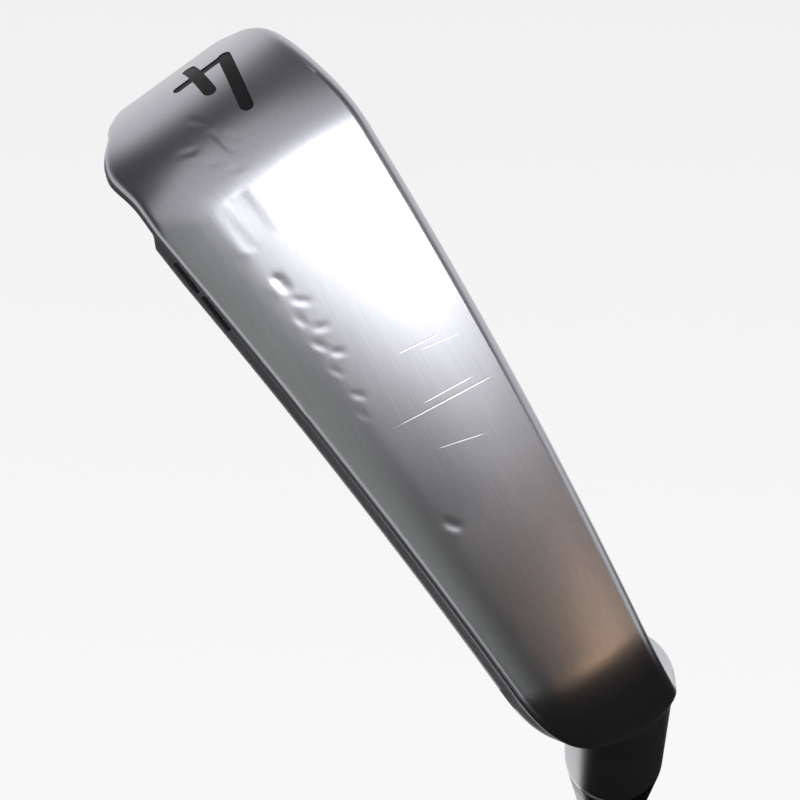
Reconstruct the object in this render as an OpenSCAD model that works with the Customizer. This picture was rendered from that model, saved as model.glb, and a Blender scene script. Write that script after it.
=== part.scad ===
// Iron golf club, right-handed, number 4, with a wide-soled cavity-back head, a stepped steel
// shaft and a rubber grip. It stands grip down, as in a bag: z = 0 is the butt of the grip, +Z
// runs up the shaft's axis to the head, the toe points to +X and the face looks to -Y.

/* [Club] */
// Length along the shaft's axis from the butt to the ground under the head
club_length = 978; // [850:1:1180]
// Angle between the shaft and the ground when the sole rests on it
lie = 61; // [56:0.5:66]
// Angle that the face leans back from upright
loft = 19.5; // [18:0.5:60]

/* [Blade] */
// Distance from the shaft's axis at the ground to the tip of the toe
toe_x = 78.5; // [74:0.5:90]
// Where the blade ends and the neck begins, on the same line
heel_x = -3.7; // [-6:0.1:2]
// Height of the topline over the ground at the toe end
toe_height = 50.4; // [46:0.1:60]
// Height of the topline over the ground where the neck begins
heel_height = 28.4; // [25:0.1:34]
// Thickness of the topline
topline_w = 6.2; // [4.5:0.1:9]
// Radius of the toe's lower corner
toe_low_r = 18.4; // [14:0.1:22]
// Radius of the toe's upper corner
toe_top_r = 14.3; // [8:0.1:16]
// How far the sole narrows at the toe's lower corner
toe_tuck = 2; // [0:0.1:4]
// How late the band narrows on its way up the toe
toe_taper = 1; // [0.6:0.1:2]
// How much the toe's side leans in from front to back
toe_lean = 0.13; // [0:0.01:0.3]
// Radius of the toe's side between them
toe_side_r = 45; // [30:1:90]
// How far the toe's side bulges past a straight line
toe_bulge = 1.6; // [1:0.1:3]

/* [Sole] */
// Width of the sole at the heel end
sole_heel_w = 18.6; // [14:0.1:24]
// Width of the sole at the toe end
sole_toe_w = 31; // [22:0.5:34]
// How far the leading edge lies in front of the shaft's axis
leading_edge_y = 3.7; // [0:0.1:5]
// Radius of the sole from heel to toe
rocker_r = 350; // [200:10:900]
// Where that curve touches the ground
rocker_x = 33; // [25:1:45]
// Height of the leading edge over the sole's crest
front_relief = 1.7; // [0.5:0.1:3]
// Height of the trailing edge over the sole's crest
back_relief = 0.9; // [0.3:0.1:2]
// Place of the crest across the sole, from 0 in front to 1 behind
crest_at = 0.75; // [0.4:0.05:0.85]
// Radius of the leading edge
leading_r = 2.2; // [1:0.1:3]
// Radius of the trailing edge
trailing_r = 0.9; // [0.5:0.1:1.5]
// How far the back flange stands out behind the sole
flange_out = 0.8; // [0.6:0.1:2]
// Height of the bevel under the back flange
flange_rise = 2.6; // [1.5:0.1:4]
// Distance from the toe's tip to the end of the back flange
flange_end = 16; // [10:1:24]
// Length over which the back flange rises there
flange_fade = 4; // [1:0.5:8]

/* [Face and cavity] */
// Number of grooves in the face
grooves = 11; // [8:1:11]
// Distance between grooves
groove_pitch = 3; // [2.5:0.1:3.2]
// Width of a groove
groove_w = 0.9; // [0.5:0.1:1]
// Depth of a groove
groove_depth = 0.45; // [0.2:0.05:0.5]
// Length of the grooves
groove_l = 51; // [40:1:54]
// Distance from the shaft's axis to the grooves' heel ends
groove_x = 14; // [12:1:18]
// Height of the lowest groove along the face
groove_low = 5; // [4:0.5:7]
// Thickness of the face in front of the cavity
face_t = 2.6; // [2:0.1:4]
// Distance from the shaft's axis to the centre of the cavity's heel corners
cavity_heel = 16; // [15:1:26]
// Distance from the toe's tip to the centre of the cavity's toe corners
cavity_toe = 17; // [16:1:26]
// Height of the cavity's lower wall along the face
cavity_low = 8; // [8:0.5:14]
// Distance from the topline to the centre of the cavity's upper corners
cavity_rim = 12; // [11.5:0.5:15]
// Radius of the cavity's corners
cavity_r = 5; // [3:0.5:5.5]

/* [Badge] */
// Thickness of the adhesive layer
adhesive_t = 0.2; // [0.1:0.05:0.4]
// Thickness of the damper pad
damper_t = 1.2; // [0.6:0.1:2]
// Thickness of the badge plate
plate_t = 0.8; // [0.5:0.1:1.5]
// Gap between the badge's layers and the cavity's wall
badge_gap = 1; // [0.3:0.1:3]

/* [Marks] */
// Height of the number on the sole
number_h = 12; // [8:0.5:13]
// Depth of the number's recess
number_depth = 0.6; // [0.5:0.1:0.8]
// Depth of the enamel's surface under the metal's
fill_under = 0.12; // [0.05:0.01:0.2]
// Turn of the toe's lower corner at the number's middle
number_turn = 52.5; // [40:1:60]
// Turn of the direction in which the number is stamped
stamp_turn = 35; // [25:1:60]
// Distance from the leading edge back to the number's middle
number_back = 11.1; // [9:0.5:13]
// Width of the marks across the flange's bevel
mark_h = 1.4; // [1:0.1:1.8]
// Distance of the marks from the middle of the bevel, towards the sole
mark_low = 0.5; // [0:0.1:0.5]
// Depth of the marks
slot_depth = 0.5; // [0.3:0.1:0.6]

/* [Hosel] */
// Outer radius of the hosel
hosel_r = 7; // [6.4:0.1:8]
// Height of the hosel's top over the ground, along the axis
hosel_top = 70; // [62:0.5:84]
// Radius inside the corner between the topline and the hosel
neck_r = 6.5; // [4:0.5:9]
// Height of the neck's lip over the hosel
neck_lip = 0.1; // [0.1:0.05:0.3]
// Depth of the bore for the shaft
bore_depth = 32; // [25:1:36]
// Gap between the shaft's end and the bore's floor
tip_gap = 0.3; // [0.1:0.1:1]
// Thickness of the adhesive between shaft and bore
epoxy_t = 0.12; // [0.08:0.01:0.25]
// Thickness of the bright ring on the hosel's top
ring_t = 1.6; // [1:0.1:3]
// Thickness of the ferrule's thin end
ferrule_end = 0.7; // [0.4:0.1:1.2]
// Length of the ferrule
ferrule_l = 24; // [15:1:32]
// Gap between the ferrule's bore and the shaft
ferrule_gap = 0.04; // [0.02:0.01:0.1]

/* [Shaft] */
// Outer radius of the shaft's tip
tip_r = 4.7; // [4.2:0.05:4.8]
// Outer radius of the shaft's butt
butt_r = 7.62; // [7:0.01:7.7]
// Thickness of the shaft's wall
wall = 0.45; // [0.35:0.05:0.8]
// Number of steps in the shaft
steps = 15; // [8:1:15]
// Distance between steps
step_pitch = 38; // [25:1:38]
// Length of a step's cone
step_cone = 1.2; // [0.8:0.1:2]
// Length of the plain tip section
tip_l = 230; // [180:1:260]
// Length of the weight in the shaft's tip
weight_l = 14; // [6:1:30]
// Gap between that weight and the shaft
weight_gap = 0.03; // [0.02:0.01:0.1]
// Length of the band round the shaft
band_l = 22; // [12:1:26]
// Distance from the grip's mouth to the band
band_gap = 3; // [1:1:20]
// Thickness of the band
band_t = 0.08; // [0.05:0.01:0.15]

/* [Grip] */
// Length of the grip
grip_l = 267; // [220:1:280]
// Outer radius of the grip at the cap
grip_butt_r = 13.5; // [12:0.1:15]
// Outer radius of the grip at its mouth
grip_mouth_r = 8.9; // [8.6:0.1:11]
// Thickness of the tape under the grip
tape_t = 0.25; // [0.1:0.05:0.5]
// Distance from the grip's mouth back to the end of the tape
tape_back = 2; // [1:1:10]
// Thickness of the cap's flange
cap_t = 3; // [2:0.5:5]
// Length of the cap's plug inside the grip
plug_l = 4; // [2:0.5:8]
// Bevel on the cap's edge
cap_edge = 1; // [0.5:0.1:2]
// Radius of the vent hole
vent_r = 1.6; // [1:0.1:2.5]
// Depth of the painted ring's groove in the grip
mark_depth = 0.4; // [0.2:0.05:0.5]
// Depth of the paint's surface in that groove
mark_under = 0.1; // [0.05:0.05:0.15]
// Width of the groove
mark_w = 2; // [1:0.5:4]
// Distance from the grip's mouth to the groove
mark_back = 14; // [8:1:60]

/* [Hidden] */
$fn = 64;

// Samples along the straight part of an outline, round its corners and across its bands
line_n = 14;
corner_n = 12;
front_n = 4;
sole_n = 8;
back_n = 3;
side_n = 5;
web_n = 10;
fan_n = 14;

// Marks on the back flange: distance from the toe's tip, and length
marks = [[22, 4.2], [27, 4.8]];

steel = "#b9bcc2";
enamel = "#101012";

// ---- the head's frame: x to the toe, y to the back, h up over the ground ----
function mix(a, b, t) = a + (b - a) * t;
function clamp(t) = max(0, min(1, t));
function ease(t) = let(c = clamp(t)) c * c * (3 - 2 * c);
function unit(v) = v / norm(v);

function sole_h(x) = (x - rocker_x) * (x - rocker_x) / (2 * rocker_r);
function topline_h(x) = mix(heel_height, toe_height, (x - heel_x) / (toe_x - 12 - heel_x));
function face_y(h) = -leading_edge_y + h * tan(loft);
function sole_w(x) = mix(sole_heel_w, sole_toe_w, (x - heel_x) / (toe_x - heel_x));

// Centre of the arc of radius r that rounds the corner b of the path a, b, c
function corner_mid(a, b, c, r) =
    let(u = unit(a - b), v = unit(c - b)) b + unit(u + v) * r / sin(acos(u * v) / 2);

// Arc of radius r and n steps that rounds the corner b of the path a, b, c
function corner(a, b, c, r, n) =
    let(u = unit(a - b), v = unit(c - b), half = acos(u * v) / 2,
        mid = corner_mid(a, b, c, r),
        s = b + u * r / tan(half) - mid, e = b + v * r / tan(half) - mid,
        a0 = atan2(s[1], s[0]), turn = atan2(s[0] * e[1] - s[1] * e[0], s * e))
    [for (i = [0:n]) mid + r * [cos(a0 + turn * i / n), sin(a0 + turn * i / n)]];

// The blade's outline, from the heel along the sole, round the toe and back along the topline
low_x = toe_x - toe_bulge - 1.1 * toe_low_r;
low_a = [low_x, sole_h(low_x)];
low_b = low_a + [1, (low_x - rocker_x) / rocker_r] * (toe_x - toe_bulge - low_x);
side_b = [toe_x + toe_bulge / 2, toe_height * 0.5];
top_b = [toe_x - toe_bulge, topline_h(toe_x - toe_bulge)];
top_c = [heel_x, heel_height];
low_arc = corner(low_a, low_b, side_b, toe_low_r, corner_n);
side_arc = corner(low_b, side_b, top_b, toe_side_r, side_n);
top_arc = corner(side_b, top_b, top_c, toe_top_r, corner_n);
outline = [
    for (i = [0:line_n - 1]) let(x = mix(heel_x, low_x, i / (line_n - 1))) [x, sole_h(x)],
    each low_arc,
    each side_arc,
    each top_arc,
    for (i = [1:line_n]) mix(top_arc[corner_n], top_c, i / line_n)];
out_n = len(outline);

// Outward normal of the outline at point i
function out_dir(i) =
    let(d = unit(outline[min(i + 1, out_n - 1)] - outline[max(i - 1, 0)])) [d[1], -d[0]];

// How much point i belongs to the sole and to the topline
function sole_part(i) = ease((-out_dir(i)[1] - 0.3) / 0.6);
function top_part(i) = ease((out_dir(i)[1] - 0.3) / 0.5);
function side_w(h) = mix(sole_toe_w, topline_w, pow(clamp((h - 3) / (toe_height - 15)), toe_taper));
function band_w(i) =
    let(s = sole_part(i), t = top_part(i), p = outline[i], o = out_dir(i))
    s * sole_w(p[0]) + t * topline_w + (1 - s - t) * side_w(p[1]) - toe_tuck * pow(2 * o[0] * min(0, o[1]), 2);
function relief(u) = u < crest_at
    ? -front_relief * pow((crest_at - u) / crest_at, 2)
    : -back_relief * pow((u - crest_at) / (1 - crest_at), 2);

// Points [back, out] across the band at outline point i, from the face to the back
function band_profile(i) =
    let(w = band_w(i), s = sole_part(i), r = mix(leading_r, 0.8, ease(out_dir(i)[1] * 0.75 + 0.75)),
        grow = ease((toe_x - flange_end + flange_fade / 2 - outline[i][0]) / flange_fade) * s)
    [for (k = [0:front_n]) let(v = 90 * k / front_n) [r * (1 - cos(v)), -r * (1 - sin(v)), 1],
     for (k = [1:sole_n - 1]) [mix(r, w - trailing_r, k / sole_n), 0, 0],
     for (k = [0:back_n]) let(v = 90 * k / back_n)
         [w - trailing_r * (1 - sin(v)), -trailing_r * (1 - cos(v)), 0],
     [w + max(0.1, flange_out * grow), -trailing_r - mix(0.4, flange_rise, grow), 0]];
band_n = front_n + sole_n + back_n + 2;

// Turns a band point at outline point i into [x, y, h]
function band_point(i, q) =
    let(p = outline[i], o = out_dir(i), s = sole_part(i), w = band_w(i),
        lift = s * relief(clamp(q[0] / w)), out = q[1] + lift, lean = loft * ease((o[1] + 1) / 2),
        x = p[0] + o[0] * out - toe_lean * max(0, o[0]) * q[0], h = p[1] + o[1] * out - sin(lean) * q[0])
    q[2] == 1 ? [x, face_y(h + sin(lean) * q[0]) + q[0], h] : [x, face_y(p[1]) + cos(lean) * q[0], h];
bands = [for (i = [0:out_n - 1]) [for (q = band_profile(i)) band_point(i, q)]];

// The closed section at the neck: sole band, back, topline band, face
function heel_loop(a, b) = [
    each bands[a],
    for (k = [1:web_n - 1]) mix(bands[a][band_n - 1], bands[b][band_n - 1], k / web_n),
    for (k = [band_n - 1:-1:0]) bands[b][k],
    for (k = [1:web_n - 1]) mix(bands[b][0], bands[a][0], k / web_n)];
loop_start = heel_loop(0, out_n - 1);
loop_next = heel_loop(1, out_n - 2);
loop_n = len(loop_start);
loop_len = [for (j = 0, s = 0; j < loop_n; s = s + norm(loop_start[(j + 1) % loop_n] - loop_start[j]),
    j = j + 1) s];
loop_whole = loop_len[loop_n - 1] + norm(loop_start[0] - loop_start[loop_n - 1]);
loop_mid = loop_len[floor(band_n / 2)];

// The neck turns the section about a pivot over the topline until it lies across the shaft's axis
pivot = [heel_x, heel_height + neck_r];
axis_q = sin(lie) * pivot[0] + cos(lie) * pivot[1];
neck_end_r = hosel_r + neck_lip;
function hermite(a, m, b, t) =
    (1 + 2 * t) * (1 - t) * (1 - t) * a + t * (1 - t) * (1 - t) * m + t * t * (3 - 2 * t) * b;
function neck_point(j, t) =
    let(p = loop_start[j], n = loop_next[j], slope = (n - p) / (n[0] - p[0]), q = pivot[1] - p[2],
        turn = lie * PI / 180, a = 360 * (loop_len[j] - loop_mid) / loop_whole,
        qt = hermite(q, slope[2] * q * turn, axis_q + neck_end_r * cos(a), t),
        yt = hermite(p[1], -slope[1] * q * turn, neck_end_r * sin(a), t))
    [pivot[0] - sin(lie * t) * qt + (p[0] - pivot[0]) * (1 - t) * (1 - t), yt, pivot[1] - cos(lie * t) * qt];
neck_loops = [for (k = [0:fan_n]) [for (j = [0:loop_n - 1]) neck_point(j, k / fan_n)]];
hosel_in = 2;
neck_end = pivot[1] * sin(lie) - pivot[0] * cos(lie);

// Turns [x, y, h] into the head's own frame, whose z points out of the sole
function down(p) = [p[0], p[1], -p[2]];

// Skin of blade and neck: bands, face and back zipped across, then the neck's loops and its end
module skin() {
    grid = [for (b = bands) each b];
    loops = [for (k = [1:fan_n]) each neck_loops[k]];
    start = [each [for (k = [0:band_n - 1]) k],
        for (k = [0:web_n - 2]) len(grid) + k,
        each [for (k = [band_n - 1:-1:0]) (out_n - 1) * band_n + k],
        for (k = [0:web_n - 2]) len(grid) + web_n - 1 + k];
    extra = [for (k = [0:web_n - 2]) loop_start[band_n + k],
        for (k = [0:web_n - 2]) loop_start[2 * band_n + web_n - 1 + k]];
    first = len(grid) + len(extra);
    function ring(k, j) = k == 0 ? start[j % loop_n] : first + (k - 1) * loop_n + j % loop_n;
    function at(i, k) = i * band_n + k;
    half = floor(out_n / 2);
    band_faces = [for (i = [0:out_n - 2], k = [0:band_n - 2]) each
        [[at(i, k), at(i, k + 1), at(i + 1, k + 1)], [at(i, k), at(i + 1, k + 1), at(i + 1, k)]]];
    back = band_n - 1;
    back_faces = [for (i = [1:half - 2]) let(j = out_n - 1 - i) each
        [[at(i, back), at(j, back), at(i + 1, back)], [at(i + 1, back), at(j, back), at(j - 1, back)]]];
    face_faces = [for (i = [1:half - 2]) let(j = out_n - 1 - i) each
        [[at(i, 0), at(i + 1, 0), at(j, 0)], [at(i + 1, 0), at(j - 1, 0), at(j, 0)]]];
    seam_back = [for (k = [back:back + web_n - 1]) [at(1, back), start[k], start[k + 1]],
        [at(1, back), at(out_n - 1, back), at(out_n - 2, back)]];
    seam_face = [for (k = [2 * band_n + web_n - 2:loop_n - 1])
        [at(out_n - 2, 0), start[k], start[(k + 1) % loop_n]],
        [at(out_n - 2, 0), at(0, 0), at(1, 0)]];
    neck_faces = [for (k = [0:fan_n - 1], j = [0:loop_n - 1]) each
        [[ring(k, j), ring(k + 1, j), ring(k + 1, j + 1)], [ring(k, j), ring(k + 1, j + 1), ring(k, j + 1)]]];
    end_face = [[for (j = [loop_n - 1:-1:0]) ring(fan_n, j)]];
    polyhedron([for (p = concat(grid, extra, loops)) down(p)],
        concat(band_faces, back_faces, face_faces, seam_back, seam_face, neck_faces, end_face));
}

// ---- frames on the head ----
module to_head() { translate([0, 0, club_length]) rotate([0, lie - 90, 0]) children(); }

// z runs up the shaft's axis, from the ground
module on_axis() { rotate([180, 90 - lie, 0]) children(); }

// x to the toe, y up the face, z into the head
module on_face() { translate([0, -leading_edge_y, 0]) rotate([loft - 90, 0, 0]) children(); }

// z against the stamp, at the number's middle on the toe's lower corner
low_mid = corner_mid(low_a, low_b, side_b, toe_low_r);
number_x = low_mid[0] + toe_low_r * sin(number_turn);
number_h0 = low_mid[1] - toe_low_r * cos(number_turn);
module at_number() {
    translate([number_x, face_y(number_h0) + number_back, -number_h0]) rotate([0, stamp_turn, 0]) children();
}

// z out of the bevel under the back flange, at distance x from the shaft's axis
bevel_tilt = atan2(flange_rise, flange_out);
bevel_turn = atan2(sole_toe_w - sole_heel_w, toe_x - heel_x);
module on_bevel(x) {
    h = sole_h(x) + back_relief + trailing_r + flange_rise / 2;
    translate([x, face_y(sole_h(x)) + sole_w(x) + flange_out / 2, -h])
        rotate([-bevel_tilt, 0, bevel_turn]) children();
}

// ---- the number, the marks and the cavity ----
module stroke(a, b, w) {
    d = b - a;
    translate(a) rotate(atan2(d[1], d[0])) translate([0, -w / 2]) square([norm(d), w]);
    for (p = [a, b]) translate(p) circle(d = w);
}

// A plain open 4 with its middle on the origin; its top points to the heel
module number_shape() {
    rotate(90) scale(number_h / 12.4) translate([-3, -3.6]) {
        stroke([0, 0], [1.6, 9.6], 1.7);
        stroke([0, 0], [6.9, 1.2], 1.2);
        stroke([4.1, -2.4], [4.1, 4.7], 1.7);
    }
}
module number_prism() { at_number() translate([0, 0, -8]) linear_extrude(14) number_shape(); }
module skin_under(d) {
    translate([-sin(stamp_turn) * d, 0, -cos(stamp_turn) * d]) skin();
}
module mark_boxes(top) {
    for (m = marks)
        on_bevel(toe_x - m[0]) translate([-m[1] / 2, -mark_h / 2 - mark_low, -slot_depth])
            cube([m[1], mark_h, slot_depth + top]);
}

// The cavity's outline on the face's plane, inset by d
cavity_lo = cavity_low + cavity_r;
cavity_hi_heel = topline_h(cavity_heel) / cos(loft) - cavity_rim;
cavity_hi_toe = topline_h(toe_x - cavity_toe) / cos(loft) - cavity_rim;
module cavity_shape(d) {
    hull() for (p = [[cavity_heel, cavity_lo], [toe_x - cavity_toe, cavity_lo],
                     [toe_x - cavity_toe, cavity_hi_toe], [cavity_heel, cavity_hi_heel]])
        translate(p) circle(cavity_r - d, $fn = 32);
}

// The pocket behind the face, with its floor level when the club stands on its sole
module cavity_pocket() {
    hull() for (z = [face_t, 60])
        translate([0, (z - face_t) * tan(loft), z]) linear_extrude(0.01) cavity_shape(0);
}

module badge_layer(from, t) {
    to_head() on_face() translate([0, 0, from]) linear_extrude(t) cavity_shape(badge_gap);
}

// ---- the shaft's line, from the butt of the grip ----
shaft_z = cap_t + plug_l;
tip_z = club_length - hosel_top + bore_depth - tip_gap;
first_step = tip_z - tip_l;
step_r = (butt_r - tip_r) / steps;
shaft_table = [[0, butt_r], for (k = [steps - 1:-1:0]) each
    [[first_step - k * step_pitch - step_cone, tip_r + (k + 1) * step_r],
     [first_step - k * step_pitch, tip_r + k * step_r]], [club_length, tip_r]];
function shaft_line(a, b, more) = [
    [lookup(a, shaft_table) + more, a],
    for (p = shaft_table) if (p[0] > a && p[0] < b) [p[1] + more, p[0]],
    [lookup(b, shaft_table) + more, b]];
function reversed(v) = [for (i = [len(v) - 1:-1:0]) v[i]];

// A sleeve round the shaft between heights a and b, from offset inner to offset outer
module sleeve(a, b, inner, outer) {
    rotate_extrude() polygon(concat(shaft_line(a, b, inner), reversed(shaft_line(a, b, outer))));
}

grip_n = 12;
grip_table = [for (i = [0:grip_n]) let(t = i / grip_n)
    [t * grip_l, grip_mouth_r + (grip_butt_r - grip_mouth_r) * pow(1 - t, 1.3)]];
function grip_line(a, b, more) = [
    [lookup(a, grip_table) + more, a],
    for (p = grip_table) if (p[0] > a && p[0] < b) [p[1] + more, p[0]],
    [lookup(b, grip_table) + more, b]];
mark_z = grip_l - mark_back;
module grip_ring(under) {
    rotate_extrude() polygon(concat(grip_line(mark_z, mark_z + mark_w, -mark_depth),
        reversed(grip_line(mark_z, mark_z + mark_w, -under))));
}

// ---- the pieces ----
module head() {
    color(steel) to_head() difference() {
        union() {
            skin();
            on_axis() translate([0, 0, neck_end - hosel_in])
                cylinder(r = hosel_r, h = hosel_top - neck_end + hosel_in);
        }
        on_axis() translate([0, 0, hosel_top - bore_depth]) cylinder(r = tip_r + epoxy_t, h = bore_depth + 1);
        on_face() cavity_pocket();
        on_face() for (i = [0:grooves - 1])
            translate([groove_x, groove_low + i * groove_pitch, -1])
                cube([groove_l, groove_w, 1 + groove_depth]);
        difference() {
            number_prism();
            skin_under(number_depth);
        }
        mark_boxes(1);
    }
}

module sole_number_fill() {
    color(enamel) to_head() difference() {
        intersection() {
            number_prism();
            skin_under(fill_under);
        }
        skin_under(number_depth);
    }
}

module back_mark_fill() { color(enamel) to_head() mark_boxes(-fill_under); }
module badge_adhesive() { color("#d8d2b8") badge_layer(face_t, adhesive_t); }
module badge_damper() { color("#202022") badge_layer(face_t + adhesive_t, damper_t); }
module badge_plate() { color("#8d9096") badge_layer(face_t + adhesive_t + damper_t, plate_t); }

module hosel_epoxy() {
    color("#b8a878") sleeve(club_length - hosel_top, tip_z, 0, epoxy_t);
}

module tip_weight() {
    color("#a08040") translate([0, 0, tip_z - weight_l])
        cylinder(r = tip_r - wall - weight_gap, h = weight_l);
}

module ferrule_ring() {
    color("#d8d8dc") translate([0, 0, club_length - hosel_top - ring_t]) difference() {
        cylinder(r = hosel_r, h = ring_t);
        translate([0, 0, -1]) cylinder(r = tip_r + ferrule_gap, h = ring_t + 2);
    }
}

module ferrule() {
    color("#141416") translate([0, 0, club_length - hosel_top - ring_t - ferrule_l]) difference() {
        cylinder(r1 = tip_r + ferrule_end, r2 = hosel_r, h = ferrule_l);
        translate([0, 0, -1]) cylinder(r = tip_r + ferrule_gap, h = ferrule_l + 2);
    }
}

module shaft() { color("#c8cacf") sleeve(shaft_z, tip_z, -wall, 0); }
module shaft_band() { color("#1c1c20") sleeve(grip_l + band_gap, grip_l + band_gap + band_l, 0, band_t); }
module grip_tape() { color("#e4e0d0") sleeve(shaft_z, grip_l - tape_back, 0, tape_t); }

module grip() {
    color("#18181a") difference() {
        rotate_extrude()
            polygon(concat(shaft_line(cap_t, grip_l, tape_t), reversed(grip_line(cap_t, grip_l, 0))));
        grip_ring(-1);
    }
}

module grip_cap() {
    color("#18181a") rotate_extrude() polygon([
        [vent_r, 0], [grip_butt_r - cap_edge, 0], [lookup(cap_edge, grip_table), cap_edge],
        [lookup(cap_t, grip_table), cap_t], [butt_r + tape_t, cap_t],
        [butt_r + tape_t, shaft_z], [vent_r, shaft_z]]);
}

module grip_mark_fill() { color("#f0f0f0") grip_ring(mark_under); }

head();
sole_number_fill();
back_mark_fill();
badge_adhesive();
badge_damper();
badge_plate();
hosel_epoxy();
tip_weight();
ferrule_ring();
ferrule();
shaft();
shaft_band();
grip_tape();
grip();
grip_cap();
grip_mark_fill();
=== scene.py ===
# %% [markdown]
# # A number 4 iron
#
# This lesson dresses one golf club for the camera. The club is already measured: a packed
# model gives every piece its size and place, and that frame never moves. What is left is to
# model each piece more finely than the frame does, to give it its finish, and to light it.
# The first thing is to load the frame.

# %% Load the club's frame
import math

import bpy
from mathutils import Matrix, Vector


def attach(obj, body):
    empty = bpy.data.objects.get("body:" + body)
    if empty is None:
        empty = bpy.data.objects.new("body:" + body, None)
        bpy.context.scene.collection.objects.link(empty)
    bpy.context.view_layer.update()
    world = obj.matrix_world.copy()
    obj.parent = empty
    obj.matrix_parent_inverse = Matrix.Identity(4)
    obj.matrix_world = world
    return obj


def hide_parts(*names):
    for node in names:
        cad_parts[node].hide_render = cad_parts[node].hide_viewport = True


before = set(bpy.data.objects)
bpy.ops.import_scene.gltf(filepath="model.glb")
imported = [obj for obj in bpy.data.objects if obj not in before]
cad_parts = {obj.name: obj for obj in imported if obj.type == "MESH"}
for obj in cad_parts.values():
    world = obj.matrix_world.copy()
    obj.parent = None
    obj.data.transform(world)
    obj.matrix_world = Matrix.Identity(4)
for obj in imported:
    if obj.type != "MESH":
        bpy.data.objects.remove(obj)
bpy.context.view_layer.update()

print("pieces in the frame:", len(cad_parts))

# %% [markdown]
# ## A tidy bench
#
# An operator works on whatever is selected, so a modeller clears the selection before each
# step. These helpers do what a hand would do over and over: clear the bench, add a primitive
# at the origin, work on one piece in edit mode, and apply a modifier.

# %% Bench helpers
MM = 0.001


def clear():
    """Leaves edit mode and selects nothing."""
    if bpy.context.object and bpy.context.object.mode != "OBJECT":
        bpy.ops.object.mode_set(mode="OBJECT")
    bpy.ops.object.select_all(action="DESELECT")


def pick(piece):
    """Selects one piece and makes it the active one."""
    clear()
    piece.select_set(True)
    bpy.context.view_layer.objects.active = piece


def start(name, add, **settings):
    """Adds a primitive, names it and lays its place into its mesh."""
    clear()
    add(**settings)
    piece = bpy.context.object
    piece.name = piece.data.name = name
    bpy.ops.object.transform_apply(location=True, rotation=True, scale=True)
    return piece


def close_up(piece, gap=0.002):
    """Merges doubled points, gap mm apart, and turns every face outwards."""
    pick(piece)
    bpy.ops.object.mode_set(mode="EDIT")
    bpy.ops.mesh.select_all(action="SELECT")
    bpy.ops.mesh.remove_doubles(threshold=gap * MM)
    bpy.ops.mesh.normals_make_consistent(inside=False)
    bpy.ops.object.mode_set(mode="OBJECT")


def smooth(piece, degrees):
    """Shades a piece smooth, with edges sharper than that angle left crisp."""
    pick(piece)
    bpy.ops.object.shade_smooth_by_angle(angle=math.radians(degrees))


def copy_of(piece, name, shift=(0, 0, 0)):
    """A copy with its own mesh, moved by shift mm."""
    pick(piece)
    bpy.ops.object.duplicate(linked=False)
    made = bpy.context.object
    made.name = made.data.name = name
    bpy.ops.transform.translate(value=Vector(shift) * MM)
    bpy.ops.object.transform_apply(location=True, rotation=False, scale=False)
    return made


def join(pieces, name):
    """Joins several pieces into one."""
    clear()
    for piece in pieces:
        piece.select_set(True)
    bpy.context.view_layer.objects.active = pieces[0]
    bpy.ops.object.join()
    pieces[0].name = pieces[0].data.name = name
    return pieces[0]


def cut(piece, tool, how="DIFFERENCE", keep=False):
    """Cuts, joins or trims a piece with another closed one, and then removes that one."""
    pick(piece)
    modifier = piece.modifiers.new("cut", "BOOLEAN")
    modifier.operation, modifier.object, modifier.solver = how, tool, "MANIFOLD"
    bpy.ops.object.modifier_apply(modifier=modifier.name)
    if not keep:
        bpy.data.objects.remove(tool)
    return piece


# %% [markdown]
# ## The head's sizes
#
# A cavity-back iron is a flat face with a band of metal round it. The band is wide along the
# sole, narrow along the topline, and thins down as it rounds the toe. So the head is drawn as
# one outline in the plane of the face, and a cross-section of the band at each point of it.
# All sizes are in millimetres, in the head's own frame: x to the toe, y to the back, and h up
# from the ground when the club is held at address.

# %% Sizes of the blade, the sole and the hosel
CLUB_LENGTH, LIE, LOFT = 978, 61, 19.5
TOE_X, HEEL_X, TOE_H, HEEL_H = 78.5, -3.7, 50.4, 28.4
TOPLINE_W, TOE_LOW_R, TOE_TOP_R, TOE_SIDE_R = 6.2, 18.4, 14.3, 45
TOE_BULGE, TOE_TUCK, TOE_TAPER, TOE_LEAN = 1.6, 2, 1, 0.13
SOLE_HEEL_W, SOLE_TOE_W, LEAD_Y = 18.6, 31, 3.7
ROCKER_R, ROCKER_X, CREST_AT = 350, 33, 0.75
FRONT_RELIEF, BACK_RELIEF, LEADING_R, TRAILING_R = 1.7, 0.9, 2.2, 0.9
FLANGE_OUT, FLANGE_RISE, FLANGE_END, FLANGE_FADE = 0.8, 2.6, 16, 4
HOSEL_R, HOSEL_TOP, NECK_R, NECK_LIP = 7, 70, 6.5, 0.1
lie, loft = math.radians(LIE), math.radians(LOFT)
head_to_row = Matrix.Translation((0, 0, CLUB_LENGTH * MM)) @ Matrix.Rotation(lie - math.pi / 2, 4, "Y")


def in_row(p):
    """A point [x, y, h] of the head in the club's frame, in metres."""
    return head_to_row @ Vector((p[0] * MM, p[1] * MM, -p[2] * MM))


# %% [markdown]
# ## The outline
#
# The sole is a long rocker curve, the toe is three arcs, and the topline is straight. Each
# part gets a fixed number of samples, close enough that no facet shows in a mirror finish.

# %% Draw the outline
LINE_N, CORNER_N, SIDE_N = ((150, 70, 16))
FRONT_N, SOLE_N, BACK_N, BEVEL_N = ((9, 58, 5, 4))
WEB_N, FAN_N = ((24, 60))


def mix(a, b, t):
    return a + (b - a) * t


def ease(t):
    t = max(0, min(1, t))
    return t * t * (3 - 2 * t)


def sole_h(x):
    return (x - ROCKER_X) ** 2 / (2 * ROCKER_R)


def topline_h(x):
    return mix(HEEL_H, TOE_H, (x - HEEL_X) / (TOE_X - 12 - HEEL_X))


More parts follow.
